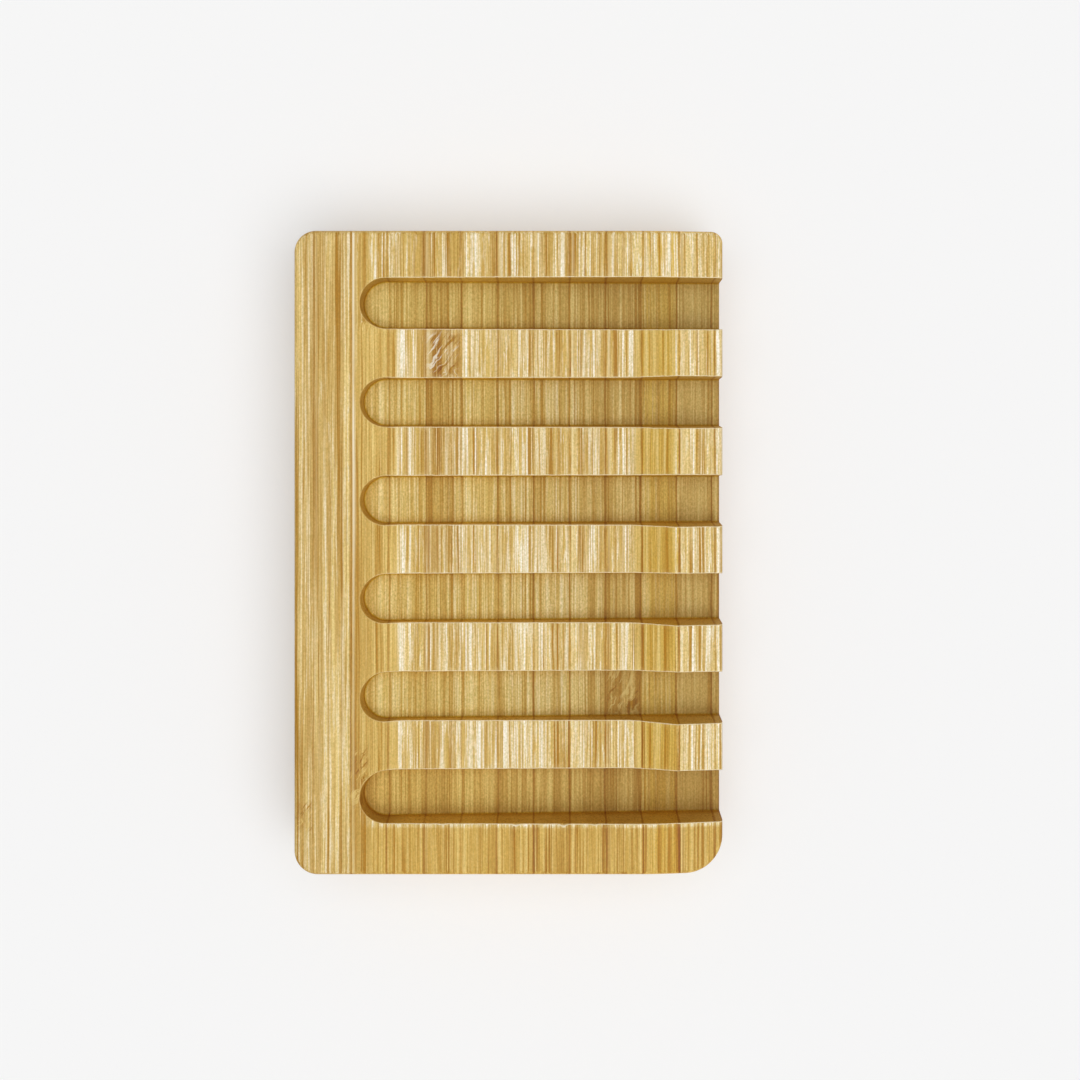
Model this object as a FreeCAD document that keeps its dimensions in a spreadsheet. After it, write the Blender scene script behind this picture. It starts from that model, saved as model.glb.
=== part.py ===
"""Self-draining soap dish of glue-laminated bamboo.

The dish is one milled board made of bamboo strips standing on edge, glued face to face.
The strips run along Y, the long way of the dish, and each reaches through the full thickness.
Across them, along X, run the drain grooves, from the rim at -X to the open lip at +X.

Frame: millimetres, +Z up, origin at the centre of the underside.
"""

import FreeCAD, Part
import os
import Sketcher

# Driving sizes, in millimetres unless the name says degrees, count or share.
SIZES = (
    # The laminated blank.
    ("rim_edge_strip", 3.75),
    ("strip_width", 6.8),
    ("strip_count", 11),
    ("lip_edge_strip", 1.45),
    ("board_length", 120.0),
    ("board_thickness", 18.0),
    # The outline: every corner is sanded to a radius of its own.
    ("back_rim_corner", 4.0),
    ("front_rim_corner", 4.4),
    ("back_lip_corner", 2.2),
    ("front_lip_corner", 7.0),
    ("edge_round", 0.9),
    # The lip: the top falls away towards the drain side.
    ("lip_width", 12.6),
    ("lip_drop", 1.5),
    ("lip_blend", 60.0),
    # The seat: a shallow scoop between the two end bands, for the bar of soap.
    ("seat_margin", 11.5),
    ("rim_ramp", 7.8),
    ("seat_depth_rim", 2.8),
    ("seat_depth_lip", 3.4),
    ("lip_ramp", 8.2),
    ("crest_setback", 8.7),
    ("seat_blend", 7.0),
    # The drain grooves: round-ended, with floors that fall to the open lip.
    ("groove_count", 6),
    ("groove_floor_width", 8.9),
    ("groove_draft_degrees", 3.0),
    ("back_band", 9.1),
    ("front_band", 10.0),
    ("groove_margin", 12.5),
    ("groove_depth_rim", 4.4),
    ("groove_depth_lip", 7.4),
    ("seat_inset", 1.0),
    # How far every cut runs past the wood.
    ("overrun", 5.0),
)

# Lengths worked out from the driving sizes.
WIDTH = "(sizes.rim_edge_strip + sizes.strip_count * sizes.strip_width + sizes.lip_edge_strip)"
LEFT = f"(-{WIDTH} / 2)"
FIRST_GROOVE = "(sizes.board_length / 2 - sizes.back_band - sizes.groove_floor_width / 2)"
GROOVE_SPAN = "(sizes.board_length - sizes.back_band - sizes.front_band - sizes.groove_floor_width)"
GROOVE_FALL = "(sizes.groove_depth_lip - sizes.groove_depth_rim)"
GROOVE_END = "(sizes.groove_margin + sizes.groove_floor_width / 2)"
GROOVE_RUN = f"({WIDTH} - {GROOVE_END})"
LIP_START = f"({WIDTH} - sizes.lip_width)"
LIP_ANGLE = "atan(sizes.lip_drop / sizes.lip_width)"
LIP_TANGENT = f"(sizes.lip_blend * tan({LIP_ANGLE} / 2))"
CREST = f"({WIDTH} - sizes.crest_setback)"
CREST_DROP = "(sizes.lip_drop * (sizes.lip_width - sizes.crest_setback) / sizes.lip_width)"


def make_sheet(doc):
    """Write the driving sizes into the document's sheet, one row each."""
    sheet = doc.addObject("Spreadsheet::Sheet", "sizes")
    for row, (alias, value) in enumerate(SIZES, start=1):
        sheet.set(f"A{row}", alias)
        sheet.set(f"B{row}", str(value))
        sheet.setAlias(f"B{row}", alias)
    doc.recompute()
    return sheet


def bind(item, formulas):
    """Tie properties of one object to formulas over the sheet."""
    for path, formula in formulas.items():
        item.setExpression(path, formula)


def new_sketch(body, role, name, offset):
    """Add a sketch on one of the body's own origin planes, shifted by formulas."""
    sketch = body.newObject("Sketcher::SketchObject", name)
    plane = next(item for item in body.Origin.OriginFeatures if item.Role == role)
    sketch.AttachmentSupport = [(plane, "")]
    sketch.MapMode = "FlatFace"
    bind(sketch, {f"AttachmentOffset.{path}": formula for path, formula in offset.items()})
    return sketch


def set_distance(sketch, kind, point, name, formula):
    """Hold a point at a distance from the sketch origin, or on the axis when it is zero."""
    if formula == "0":
        axis = -2 if kind == "DistanceX" else -1
        sketch.addConstraint(Sketcher.Constraint("PointOnObject", *point, axis))
        return
    index = sketch.addConstraint(Sketcher.Constraint(kind, -1, 1, *point, 1.0))
    sketch.renameConstraint(index, name)
    sketch.setExpression(f"Constraints.{name}", formula)


def draw_outline(sketch, corners, arc_side=None):
    """Draw a closed outline whose corners are pairs of formulas, measured from the sketch origin.

    The sides are straight, but for one that may be an arc.
    """
    count = len(corners)
    upright = FreeCAD.Vector(0, 0, 1)
    turns = [FreeCAD.Rotation(upright, 360.0 * place / count) for place in range(count + 1)]
    points = [turn.multVec(FreeCAD.Vector(1, 0, 0)) for turn in turns]
    lines = {}
    for side in range(count):
        if side != arc_side:
            lines[side] = sketch.addGeometry(Part.LineSegment(points[side], points[side + 1]))
    for side, line in lines.items():
        after = lines.get((side + 1) % count)
        if after is not None:
            sketch.addConstraint(Sketcher.Constraint("Coincident", line, 2, after, 1))
    for corner, (across, up) in enumerate(corners):
        point = (lines[corner - 1], 2) if corner == arc_side else (lines[corner], 1)
        set_distance(sketch, "DistanceX", point, f"across_{corner}", across)
        set_distance(sketch, "DistanceY", point, f"up_{corner}", up)
    sketch.Document.recompute()
    if arc_side is not None:
        close_with_arc(sketch, lines[arc_side - 1], lines[arc_side + 1])


def close_with_arc(sketch, before, after):
    """Join two sides by an arc whose centre is plumb below the start of the second."""
    start = sketch.Geometry[before].EndPoint
    end = sketch.Geometry[after].StartPoint
    chord = end - start
    radius = chord.Length**2 / (2 * chord.y)
    circle = Part.Circle(end - FreeCAD.Vector(0, radius, 0), FreeCAD.Vector(0, 0, 1), radius)
    arc = Part.ArcOfCircle(circle, circle.parameter(start), circle.parameter(end))
    index = sketch.addGeometry(arc)
    sketch.addConstraint(Sketcher.Constraint("Coincident", before, 2, index, 1))
    sketch.addConstraint(Sketcher.Constraint("Coincident", index, 2, after, 1))
    sketch.addConstraint(Sketcher.Constraint("Vertical", index, 3, after, 1))


def middle_normal(face):
    """Outward direction of a face at the middle of its parameters."""
    first, last, low, high = face.ParameterRange
    return face.normalAt((first + last) / 2, (low + high) / 2)


def upright_faces(shape, edge):
    """Count the faces at an edge that stand upright."""
    steep_share = 0.5
    faces = shape.ancestorsOfType(edge, Part.Face)
    return sum(abs(middle_normal(face).z) < steep_share for face in faces)


def is_hollow(shape, edge):
    """Tell whether two faces that lie rather than stand meet at an edge in a hollow."""
    faces = shape.ancestorsOfType(edge, Part.Face)
    if len(faces) != 2 or upright_faces(shape, edge):
        return False
    first, second = faces
    middle = edge.CenterOfMass
    rise_first = (first.CenterOfMass - middle).dot(middle_normal(second))
    rise_second = (second.CenterOfMass - middle).dot(middle_normal(first))
    return rise_first > 0 and rise_second > 0


def edge_names(feature, wanted):
    """Name the edges of a feature that the test picks."""
    edges = feature.Shape.Edges
    return [f"Edge{place}" for place, edge in enumerate(edges, start=1) if wanted(edge)]


def add_fillet(body, base, name, names, radius):
    """Round the named edges of the body's last feature."""
    fillet = body.newObject("PartDesign::Fillet", name)
    fillet.Base = (base, names)
    fillet.setExpression("Radius", radius)
    body.Document.recompute()
    return fillet


def corner_edge(feature, x_side, y_side):
    """Name the upright edge that stands furthest out at one corner of the outline."""
    edges = feature.Shape.Edges

    def reach(edge):
        return min(x_side * point.X + y_side * point.Y for point in edge.Vertexes)

    best = max(range(len(edges)), key=lambda place: reach(edges[place]))
    return f"Edge{best + 1}"


def make_blank(doc):
    """The glued board before milling: side profile with the falling lip, rounded all round."""
    body = doc.addObject("PartDesign::Body", "board")
    profile = new_sketch(body, "XZ_Plane", "side_profile", {"Base.x": LEFT})
    draw_outline(
        profile,
        (
            ("0", "0"),
            (WIDTH, "0"),
            (WIDTH, "sizes.board_thickness - sizes.lip_drop"),
            (
                f"{LIP_START} + {LIP_TANGENT} * cos({LIP_ANGLE})",
                f"sizes.board_thickness - {LIP_TANGENT} * sin({LIP_ANGLE})",
            ),
            (f"{LIP_START} - {LIP_TANGENT}", "sizes.board_thickness"),
            ("0", "sizes.board_thickness"),
        ),
        arc_side=3,
    )
    blank = body.newObject("PartDesign::Pad", "blank")
    blank.Profile = profile
    blank.SideType = "Symmetric"
    blank.setExpression("Length", "sizes.board_length")
    doc.recompute()

    last = blank
    corners = (
        ("back_rim_corner", -1, 1),
        ("front_rim_corner", -1, -1),
        ("back_lip_corner", 1, 1),
        ("front_lip_corner", 1, -1),
    )
    for name, x_side, y_side in corners:
        edge = corner_edge(last, x_side, y_side)
        last = add_fillet(body, last, f"{name}_round", [edge], f"sizes.{name}")
    rims = edge_names(last, lambda edge: upright_faces(last.Shape, edge) == 1)
    return body, add_fillet(body, last, "sanded_edges", rims, "sizes.edge_round")


def cut_seat(body):
    """Mill the scooped seat: a ramp in from the rim, a gently falling bed and a ramp up to the crest."""
    middle = f"({FIRST_GROOVE} - {GROOVE_SPAN} / 2)"
    profile = new_sketch(body, "XZ_Plane", "seat_profile", {"Base.x": LEFT, "Base.z": f"-{middle}"})
    clear = "sizes.board_thickness + sizes.overrun"
    draw_outline(
        profile,
        (
            ("sizes.seat_margin", "sizes.board_thickness"),
            ("sizes.seat_margin + sizes.rim_ramp", "sizes.board_thickness - sizes.seat_depth_rim"),
            (f"{CREST} - sizes.lip_ramp", "sizes.board_thickness - sizes.seat_depth_lip"),
            (CREST, f"sizes.board_thickness - {CREST_DROP}"),
            (CREST, clear),
            ("sizes.seat_margin", clear),
        ),
    )
    seat = body.newObject("PartDesign::Pocket", "seat")
    seat.Profile = profile
    seat.SideType = "Symmetric"
    seat.setExpression("Length", f"{GROOVE_SPAN} - sizes.groove_floor_width + 2 * sizes.seat_inset")
    body.Document.recompute()
    creases = edge_names(seat, lambda edge: is_hollow(seat.Shape, edge))
    return add_fillet(body, seat, "seat_creases", creases, "sizes.seat_blend")


def cut_grooves(body):
    """Mill the drain grooves with a tapered cutter that dips towards the lip, one beside the other."""
    slope = f"atan({GROOVE_FALL} / {GROOVE_RUN})"
    height = "(sizes.groove_depth_lip + sizes.overrun)"
    flare = f"({height} * tan(sizes.groove_draft_degrees * 1 deg))"
    end_height = "sizes.board_thickness - sizes.groove_depth_rim"
    section = new_sketch(
        body,
        "YZ_Plane",
        "groove_section",
        {
            "Base.x": f"{FIRST_GROOVE} - sizes.groove_floor_width / 2 - {flare}",
            "Base.y": end_height,
            "Base.z": f"{LEFT} + {GROOVE_END}",
            "Rotation.Axis.x": "1",
            "Rotation.Axis.z": "0",
            "Rotation.Angle": slope,
        },
    )
    draw_outline(
        section,
        (
            (flare, "0"),
            (f"{flare} + sizes.groove_floor_width", "0"),
            (f"2 * {flare} + sizes.groove_floor_width", height),
            ("0", height),
        ),
    )
    run = body.newObject("PartDesign::Pocket", "groove_run")
    run.Profile = section
    run.Reversed = True
    run.setExpression("Length", f"{GROOVE_RUN} / cos({slope}) + sizes.overrun")
    body.Document.recompute()

    cutter = new_sketch(
        body,
        "XZ_Plane",
        "cutter_half",
        {
            "Base.x": f"{LEFT} + {GROOVE_END}",
            "Base.y": end_height,
            "Base.z": f"-{FIRST_GROOVE}",
            "Rotation.Angle": f"-{slope}",
        },
    )
    draw_outline(
        cutter,
        (
            ("0", "0"),
            ("sizes.groove_floor_width / 2", "0"),
            (f"sizes.groove_floor_width / 2 + {flare}", height),
            ("0", height),
        ),
    )
    end = body.newObject("PartDesign::Groove", "groove_end")
    end.Profile = cutter
    end.ReferenceAxis = (cutter, ["V_Axis"])
    body.Document.recompute()

    grooves = body.newObject("PartDesign::LinearPattern", "grooves")
    grooves.Originals = [run, end]
    along = next(item for item in body.Origin.OriginFeatures if item.Role == "Y_Axis")
    grooves.Direction = (along, [""])
    grooves.Reversed = True
    grooves.setExpression("Length", GROOVE_SPAN)
    grooves.setExpression("Occurrences", "sizes.groove_count")
    body.Tip = grooves
    body.Document.recompute()
    return run, end, grooves


def strip_names(count):
    """Names of the strips from the rim side to the lip side."""
    seat = [f"seat_strip_{place}" for place in range(1, count - 3)]
    return ["rim_edge_strip", "rim_strip", "groove_end_strip", *seat, "crest_strip", "lip_strip", "lip_edge_strip"]


def make_strip(doc, board, label, start, width):
    """One bamboo strip: the part of the milled board between two glue planes."""
    slab = doc.addObject("Part::Box", f"{label}_slab")
    bind(
        slab,
        {
            "Length": width,
            "Width": "sizes.board_length + 2 * sizes.overrun",
            "Height": "sizes.board_thickness + 2 * sizes.overrun",
            "Placement.Base.x": f"{LEFT} + {start}",
            "Placement.Base.y": "-sizes.board_length / 2 - sizes.overrun",
            "Placement.Base.z": "-sizes.overrun",
        },
    )
    strip = doc.addObject("Part::Common", label)
    strip.Label = label
    strip.Base = board
    strip.Tool = slab
    return strip


def make_strips(doc, board, count):
    """Divide the board at its glue planes."""
    names = strip_names(count)
    strips = [make_strip(doc, board, names[0], "-sizes.overrun", "sizes.rim_edge_strip + sizes.overrun")]
    for place, name in enumerate(names[1:-1]):
        start = f"sizes.rim_edge_strip + {place} * sizes.strip_width"
        strips.append(make_strip(doc, board, name, start, "sizes.strip_width"))
    start = "sizes.rim_edge_strip + sizes.strip_count * sizes.strip_width"
    strips.append(make_strip(doc, board, names[-1], start, "sizes.lip_edge_strip + sizes.overrun"))
    doc.recompute()
    return strips


def check_document(doc, strips):
    """Stop when any object failed or a strip is not one sound solid."""
    for item in doc.Objects:
        if "Invalid" in item.State or "Error" in item.State:
            raise RuntimeError(f"{item.Label} did not build: {item.State}")
    for strip in strips:
        if strip.Shape.isNull() or not strip.Shape.isValid() or len(strip.Shape.Solids) != 1:
            raise RuntimeError(f"{strip.Label} is not one sound solid")


def main():
    doc = FreeCAD.newDocument("soap_dish")
    sheet = make_sheet(doc)
    board, blank = make_blank(doc)
    volumes = [blank.Shape.Volume]
    cuts = [cut_seat(board), *cut_grooves(board)]
    volumes.extend(cut.Shape.Volume for cut in cuts)
    strips = make_strips(doc, board, int(sheet.get("strip_count")))
    check_document(doc, strips)
    if any(after >= before for before, after in zip(volumes, volumes[1:])):
        raise RuntimeError("a cut removed no wood")

    os.makedirs("parts", exist_ok=True)
    for strip in strips:
        strip.Shape.exportStep(f"parts/{strip.Label}.step")
    total = sum(strip.Shape.Volume for strip in strips)
    print("wood left after each cut:", [round(volume) for volume in volumes], "in the strips:", round(total))


main()
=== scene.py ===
import math

import bpy
import numpy as np
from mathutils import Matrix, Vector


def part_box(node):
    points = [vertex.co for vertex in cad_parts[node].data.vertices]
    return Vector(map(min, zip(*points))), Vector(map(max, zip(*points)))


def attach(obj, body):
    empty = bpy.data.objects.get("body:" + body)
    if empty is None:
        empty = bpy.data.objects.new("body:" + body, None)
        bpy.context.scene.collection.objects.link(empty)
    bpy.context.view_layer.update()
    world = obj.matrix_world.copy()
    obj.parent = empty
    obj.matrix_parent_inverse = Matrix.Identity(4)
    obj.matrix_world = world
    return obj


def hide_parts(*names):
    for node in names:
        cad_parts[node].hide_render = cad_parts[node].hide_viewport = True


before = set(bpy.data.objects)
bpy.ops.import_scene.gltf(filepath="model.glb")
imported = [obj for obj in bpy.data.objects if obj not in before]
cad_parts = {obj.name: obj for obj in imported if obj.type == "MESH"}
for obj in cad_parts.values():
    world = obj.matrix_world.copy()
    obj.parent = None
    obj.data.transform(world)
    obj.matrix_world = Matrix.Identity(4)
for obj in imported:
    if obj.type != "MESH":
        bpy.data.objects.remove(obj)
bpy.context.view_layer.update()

# Sizes of the milled board, in millimetres. The rim is at -X, the drain lip at +X.
MM = 0.001
HALF_WIDTH = 40.0
HALF_LENGTH = 60.0
RIM_TOP = 18.0
EDGE_ROUND = 0.9
EXIT_BREAK = 0.25
BACK_RIM_CORNER = 4.0
FRONT_RIM_CORNER = 4.4
BACK_LIP_CORNER = 2.2
FRONT_LIP_CORNER = 7.0
LIP_START = 27.4
LIP_FALL = 1.5 / 12.6
LIP_BLEND = 60.0

# The scooped seat: its profile from the rim to the crest, and its ends.
SEAT_EDGE = (-28.5, 18.0)
SEAT_FOOT = (-20.7, 15.2)
SEAT_BED_END = (23.1, 14.6)
SEAT_CREST = (31.3, 17.54)
SEAT_BLEND = 7.0
SEAT_EDGE_BLEND = 3.0
SEAT_BACK = 43.0
SEAT_FRONT = -42.1
SEAT_CORNER = 2.4
SEAT_END_SOFT = 0.4

# The drain grooves: round ends towards the rim, floors falling to the lip.
GROOVE_COUNT = 6
GROOVE_FIRST = 46.45
GROOVE_PITCH = 18.4
GROOVE_END = -23.05
GROOVE_HALF = 4.45
GROOVE_DRAFT = math.tan(math.radians(3.0))
GROOVE_FLOOR = 13.6
GROOVE_FALL = 3.0 / 63.05
FLOOR_FILLET = 0.45
EDGE_BREAK = 0.22
EDGE_UNEVEN = 0.35
FRONT_EDGE = (-48.0, -49.5)

# Knocked spots on the front edge of the last groove: place in X, width and extra break.
KNOCKED_SPOTS = ((1.3, 0.7, 0.5), (10.2, 0.6, 0.7), (16.0, 0.5, 0.3), (-12.5, 0.6, 0.25))

# How finely the surfaces are sampled.
QUARTER_TURN = np.radians(np.array([0.0, 22.5, 45.0, 67.5, 90.0]))
FLOOR_SHARES = np.linspace(0.0, 0.86, 6)
WALL_SHARES = np.array([0.3, 0.65])
EDGE_STATIONS = np.array([0.02, 0.07, 0.15, 0.26, 0.4, 0.55, 0.72, 0.9])
EDGE_ZONE = 1.0
STRIP_COLUMNS = 26
RIDGE_ROWS = 9
PLAIN_ROWS = 160
BAND_ROWS = 6
SIDE_RAYS = 19
END_RAYS = 53
BESIDE_GROOVE = 0.5
TINY = 1e-9
SAME_ROW = 1e-6
SHARP_ANGLE = 30.0

# How pale each face is painted, from 0 to 1, by sanding and by a painted sheen of the overhead light on
# level faces, and how brown its cut fibre ends are.
SLOPE_STEP = 0.3
SHEEN_AND_RUB_SLOPES = (0.14, 0.30)
RIM_LESS_SHEEN_AND_RUB = 0.55
FRONT_LESS_SHEEN_AND_RUB = 0.88
FLOOR_SHEEN_AND_RUB = 0.42
WALL_SHEEN_AND_RUB = 0.3
ENDS_CUT = 0.5

# Where those zones of sanding and painted sheen lie, in millimetres: from and to.
RIM_ZONE = (-28.0, -30.5)
FRONT_ZONE = (-50.5, -51.5)
FRONT_ZONE_SIDE = (-31.0, -27.0)
FLOOR_SHEEN_AND_WEAR_SIDE = (34.0, 8.0)
FLOOR_SHEEN_AND_WEAR_FRONT = (-52.0, -20.0)
FLOOR_SHEEN_AND_WEAR_BACK = (56.0, 30.0)
CUT_STARTS = (GROOVE_HALF - 0.08, GROOVE_HALF)
CUT_AT_ENDS = (0.6, 0.0)

# In parts of the edge break: end of the milled face, end of the cut face, and the pale edge line, sanding
# wear and a painted highlight on the shoulder, with its middle and half width. The round ends keep only a
# share of that line.
MILLED_ENDS = 0.6
CUT_FADES = (0.4, 0.05)
EDGE_LINE = (0.62, 0.40)
EDGE_GAIN = 1.8
ROUND_END_EDGE = 0.25
ROUND_END_ZONE = (-27.0, -19.0)

# Painted shade along the feet of the groove walls: a wide shade and a thin dark line, by the way in from the
# wall.
FOOT_SHADE = 0.30
FOOT_SHADE_REACH = (2.2, 0.3)
FOOT_LINE_REACH = (0.40, 0.10)
FOOT_CLIMB = -0.05


def soft_min(a, b, k):
    """The lower of two heights; where they differ by less than k the crossing is rounded by a parabola."""
    h = np.maximum(k - np.abs(a - b), 0.0) / k
    return np.minimum(a, b) - 0.25 * k * h * h


def soft_max(a, b, k):
    """The higher of two heights, rounded in the same way."""
    return -soft_min(-a, -b, k)


def smooth_step(low, high, value):
    """0 below low, 1 above high, and a cubic ease between."""
    t = np.clip((value - low) / (high - low), 0.0, 1.0)
    return t * t * (3.0 - 2.0 * t)


def line_through(p, q, x):
    """Height at x on the straight line through two profile points."""
    return p[1] + (q[1] - p[1]) / (q[0] - p[0]) * (x - p[0])


def slope_of(p, q):
    """Slope of the line through two profile points."""
    return (q[1] - p[1]) / (q[0] - p[0])


def blend_height(radius, slope_change):
    """Height difference over which soft_min copies a fillet of this radius between two slopes."""
    return 0.5 * radius * slope_change * slope_change


def wobble(x, y, seed):
    """Slow hand-sanding unevenness from -1 to 1: the mean of four sine waves that run askew."""
    waves = np.sin(0.9 * x + 1.7 * y + seed) + np.sin(2.3 * x - 0.8 * y + 2.1 * seed)
    waves = waves + np.sin(4.9 * x + 3.1 * y + 0.7 * seed) + np.sin(-1.4 * x + 5.3 * y + 3.3 * seed)
    return 0.25 * waves


def board_face(x):
    """Upper face before hollowing: level, then falling to the lip, with a long round between."""
    lip = RIM_TOP - LIP_FALL * (x - LIP_START)
    return soft_min(np.full_like(x, RIM_TOP), lip, blend_height(LIP_BLEND, LIP_FALL))


def seat_face(x, y):
    """Scooped seat: the highest of rim ramp, bed and lip ramp, with filleted feet.
    Near the seat's two ends the rim ramp steps in along a quarter circle."""
    room = np.minimum(SEAT_BACK - y, y - SEAT_FRONT)
    inside = np.clip(SEAT_CORNER - room, 0.0, SEAT_CORNER)
    step_in = SEAT_CORNER - np.sqrt(SEAT_CORNER**2 - inside**2)
    rim_ramp = line_through(SEAT_EDGE, SEAT_FOOT, x - 0.5 * step_in)
    bed = line_through(SEAT_FOOT, SEAT_BED_END, x)
    lip_ramp = line_through(SEAT_BED_END, SEAT_CREST, x)
    rim_turn = slope_of(SEAT_FOOT, SEAT_BED_END) - slope_of(SEAT_EDGE, SEAT_FOOT)
    lip_turn = slope_of(SEAT_BED_END, SEAT_CREST) - slope_of(SEAT_FOOT, SEAT_BED_END)
    seat = soft_max(rim_ramp, bed, blend_height(SEAT_BLEND, rim_turn))
    return soft_max(seat, lip_ramp, blend_height(SEAT_BLEND, lip_turn))


def deck_height(x, y):
    """Upper face without grooves: the board's face, cut down to the seat between the seat's ends."""
    board = board_face(x)
    ramp = slope_of(SEAT_EDGE, SEAT_FOOT)
    cut = board - soft_min(board, seat_face(x, y), blend_height(SEAT_EDGE_BLEND, ramp))
    room = np.minimum(SEAT_BACK - y, y - SEAT_FRONT)
    return board - cut * smooth_step(-SEAT_END_SOFT, SEAT_END_SOFT, room)


def groove_floor(x):
    """Floor of the grooves: a plane that falls towards the lip."""
    return GROOVE_FLOOR - GROOVE_FALL * (x - GROOVE_END)


def groove_index(y):
    """Number of the groove whose middle is nearest."""
    return np.clip(np.rint((GROOVE_FIRST - y) / GROOVE_PITCH), 0, GROOVE_COUNT - 1)


def groove_reach(x, y):
    """Distance in plan from the nearest groove's centre line, which ends at the round end's centre."""
    middle = GROOVE_FIRST - GROOVE_PITCH * groove_index(y)
    return np.hypot(np.minimum(x - GROOVE_END, 0.0), y - middle)


def edge_break(x, y):
    """Width of the sanded break along the groove edges, uneven, with a few knocked spots at the front."""
    size = EDGE_BREAK * (1.0 + EDGE_UNEVEN * wobble(x, 0.35 * y, 1.0))
    front = smooth_step(*FRONT_EDGE, y)
    for spot, width, depth in KNOCKED_SPOTS:
        size = size + front * depth * np.exp(-(((x - spot) / width) ** 2))
    return size


def wall_top(x, deck):
    """Distance from the centre line at which the drafted wall reaches the deck."""
    return GROOVE_HALF + (deck - groove_floor(x)) * GROOVE_DRAFT


def corner_depth(x, y, side_x, side_y, radius):
    """Depth inside the outline near one corner: to the two sides, or to the corner's arc."""
    a = HALF_WIDTH - side_x * x
    b = HALF_LENGTH - side_y * y
    round_zone = (a < radius) & (b < radius)
    arc = radius - np.hypot(radius - a, radius - b)
    return np.where(round_zone, arc, np.minimum(a, b))


def outline_depth(x, y):
    """Distance in from the board's plan outline, a rectangle with four different corner rounds."""
    depth = corner_depth(x, y, -1, 1, BACK_RIM_CORNER)
    depth = np.minimum(depth, corner_depth(x, y, -1, -1, FRONT_RIM_CORNER))
    depth = np.minimum(depth, corner_depth(x, y, 1, 1, BACK_LIP_CORNER))
    return np.maximum(np.minimum(depth, corner_depth(x, y, 1, -1, FRONT_LIP_CORNER)), 0.0)


def round_drop(depth, radius):
    """How far a quarter-round edge lies below its face at this depth in from the edge."""
    left = radius - np.minimum(depth, radius)
    return radius - np.sqrt(radius * radius - left * left)


def top_face(x, y):
    """Height of the finished upper face: deck, shoulder round, drafted wall, foot fillet and groove
    floor by distance from the groove's centre line, all under the rounded outer edge."""
    deck = deck_height(x, y)
    floor = groove_floor(x)
    reach = groove_reach(x, y)
    wall = wall_top(x, deck)
    soft = edge_break(x, y)
    across = np.clip(wall + soft - reach, 0.0, soft)
    shoulder = deck - soft + np.sqrt(soft * soft - across * across)
    inward = np.clip(reach - GROOVE_HALF + FLOOR_FILLET, 0.0, FLOOR_FILLET)
    foot = floor + FLOOR_FILLET - np.sqrt(FLOOR_FILLET**2 - inward * inward)
    rise = np.clip((reach - GROOVE_HALF) / (wall - GROOVE_HALF), 0.0, 1.0)
    face = floor + FLOOR_FILLET + rise * (deck - soft - floor - FLOOR_FILLET)
    milled = np.where(reach >= wall, shoulder, np.where(reach >= GROOVE_HALF, face, foot))
    depth = outline_depth(x, y)
    rounded = board_face(x) - round_drop(depth, EDGE_ROUND)
    return np.minimum(milled - round_drop(depth, EXIT_BREAK), rounded)


def base_face(x, y):
    """Height of the underside: level, with the outer edge rounded up."""
    return round_drop(outline_depth(x, y), EDGE_ROUND)


def wear_and_painted_light_masks(x, y):
    """Masks that the finish reads: milled in the grooves; edge on the shoulders, a sanded line that is also
    a painted highlight; the rubbing and sheen mask of faces painted pale by sanding and by a painted sheen
    of the overhead light; cut where fibre ends show; and foot, painted shade along the groove walls' feet."""
    deck = deck_height(x, y)
    reach = groove_reach(x, y)
    wall = wall_top(x, deck)
    soft = edge_break(x, y)
    milled = smooth_step(wall + MILLED_ENDS * soft, wall, reach)
    line_middle, line_half = EDGE_LINE
    off_line = np.abs(reach - wall - line_middle * soft) / (line_half * soft)
    edge = np.clip(EDGE_GAIN - EDGE_GAIN * off_line, 0.0, 1.0)
    edge = edge * (ROUND_END_EDGE + (1.0 - ROUND_END_EDGE) * smooth_step(*ROUND_END_ZONE, x))
    rise = deck_height(x + SLOPE_STEP, y) - deck_height(x - SLOPE_STEP, y)
    slope = np.abs(rise) / (2.0 * SLOPE_STEP)
    # Level faces are painted pale: sanding, and a painted sheen of the overhead light that the slopes do not
    # catch.
    rubbed_and_sheen = 1.0 - smooth_step(*SHEEN_AND_RUB_SLOPES, slope)
    rubbed_and_sheen = rubbed_and_sheen * (1.0 - RIM_LESS_SHEEN_AND_RUB * smooth_step(*RIM_ZONE, x))
    front = smooth_step(*FRONT_ZONE, y) * smooth_step(*FRONT_ZONE_SIDE, x)
    rubbed_and_sheen = rubbed_and_sheen * (1.0 - FRONT_LESS_SHEEN_AND_RUB * front)
    mid_floor = smooth_step(*FLOOR_SHEEN_AND_WEAR_FRONT, y) * smooth_step(*FLOOR_SHEEN_AND_WEAR_BACK, y)
    mid_floor = mid_floor * smooth_step(*FLOOR_SHEEN_AND_WEAR_SIDE, x)
    rubbed_and_sheen = rubbed_and_sheen * (1.0 - milled) + FLOOR_SHEEN_AND_RUB * mid_floor * milled
    cut = smooth_step(*CUT_STARTS, reach) * smooth_step(*CUT_FADES, (reach - wall) / soft)
    ends = np.minimum(back_end(x) - y, y - front_end(x))
    cut = np.maximum(cut, ENDS_CUT * smooth_step(*CUT_AT_ENDS, ends))
    # Painted shade at the feet of the groove walls, where the walls shade the floor.
    inset = GROOVE_HALF - reach
    foot_line = smooth_step(*FOOT_LINE_REACH, inset)
    foot = FOOT_SHADE * smooth_step(*FOOT_SHADE_REACH, inset) + (1.0 - FOOT_SHADE) * foot_line
    foot = foot * smooth_step(FOOT_CLIMB, 0.0, inset)
    return {"milled": milled, "edge": edge, "rubbed_and_sheen": rubbed_and_sheen, "cut": cut, "foot": foot}


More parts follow.
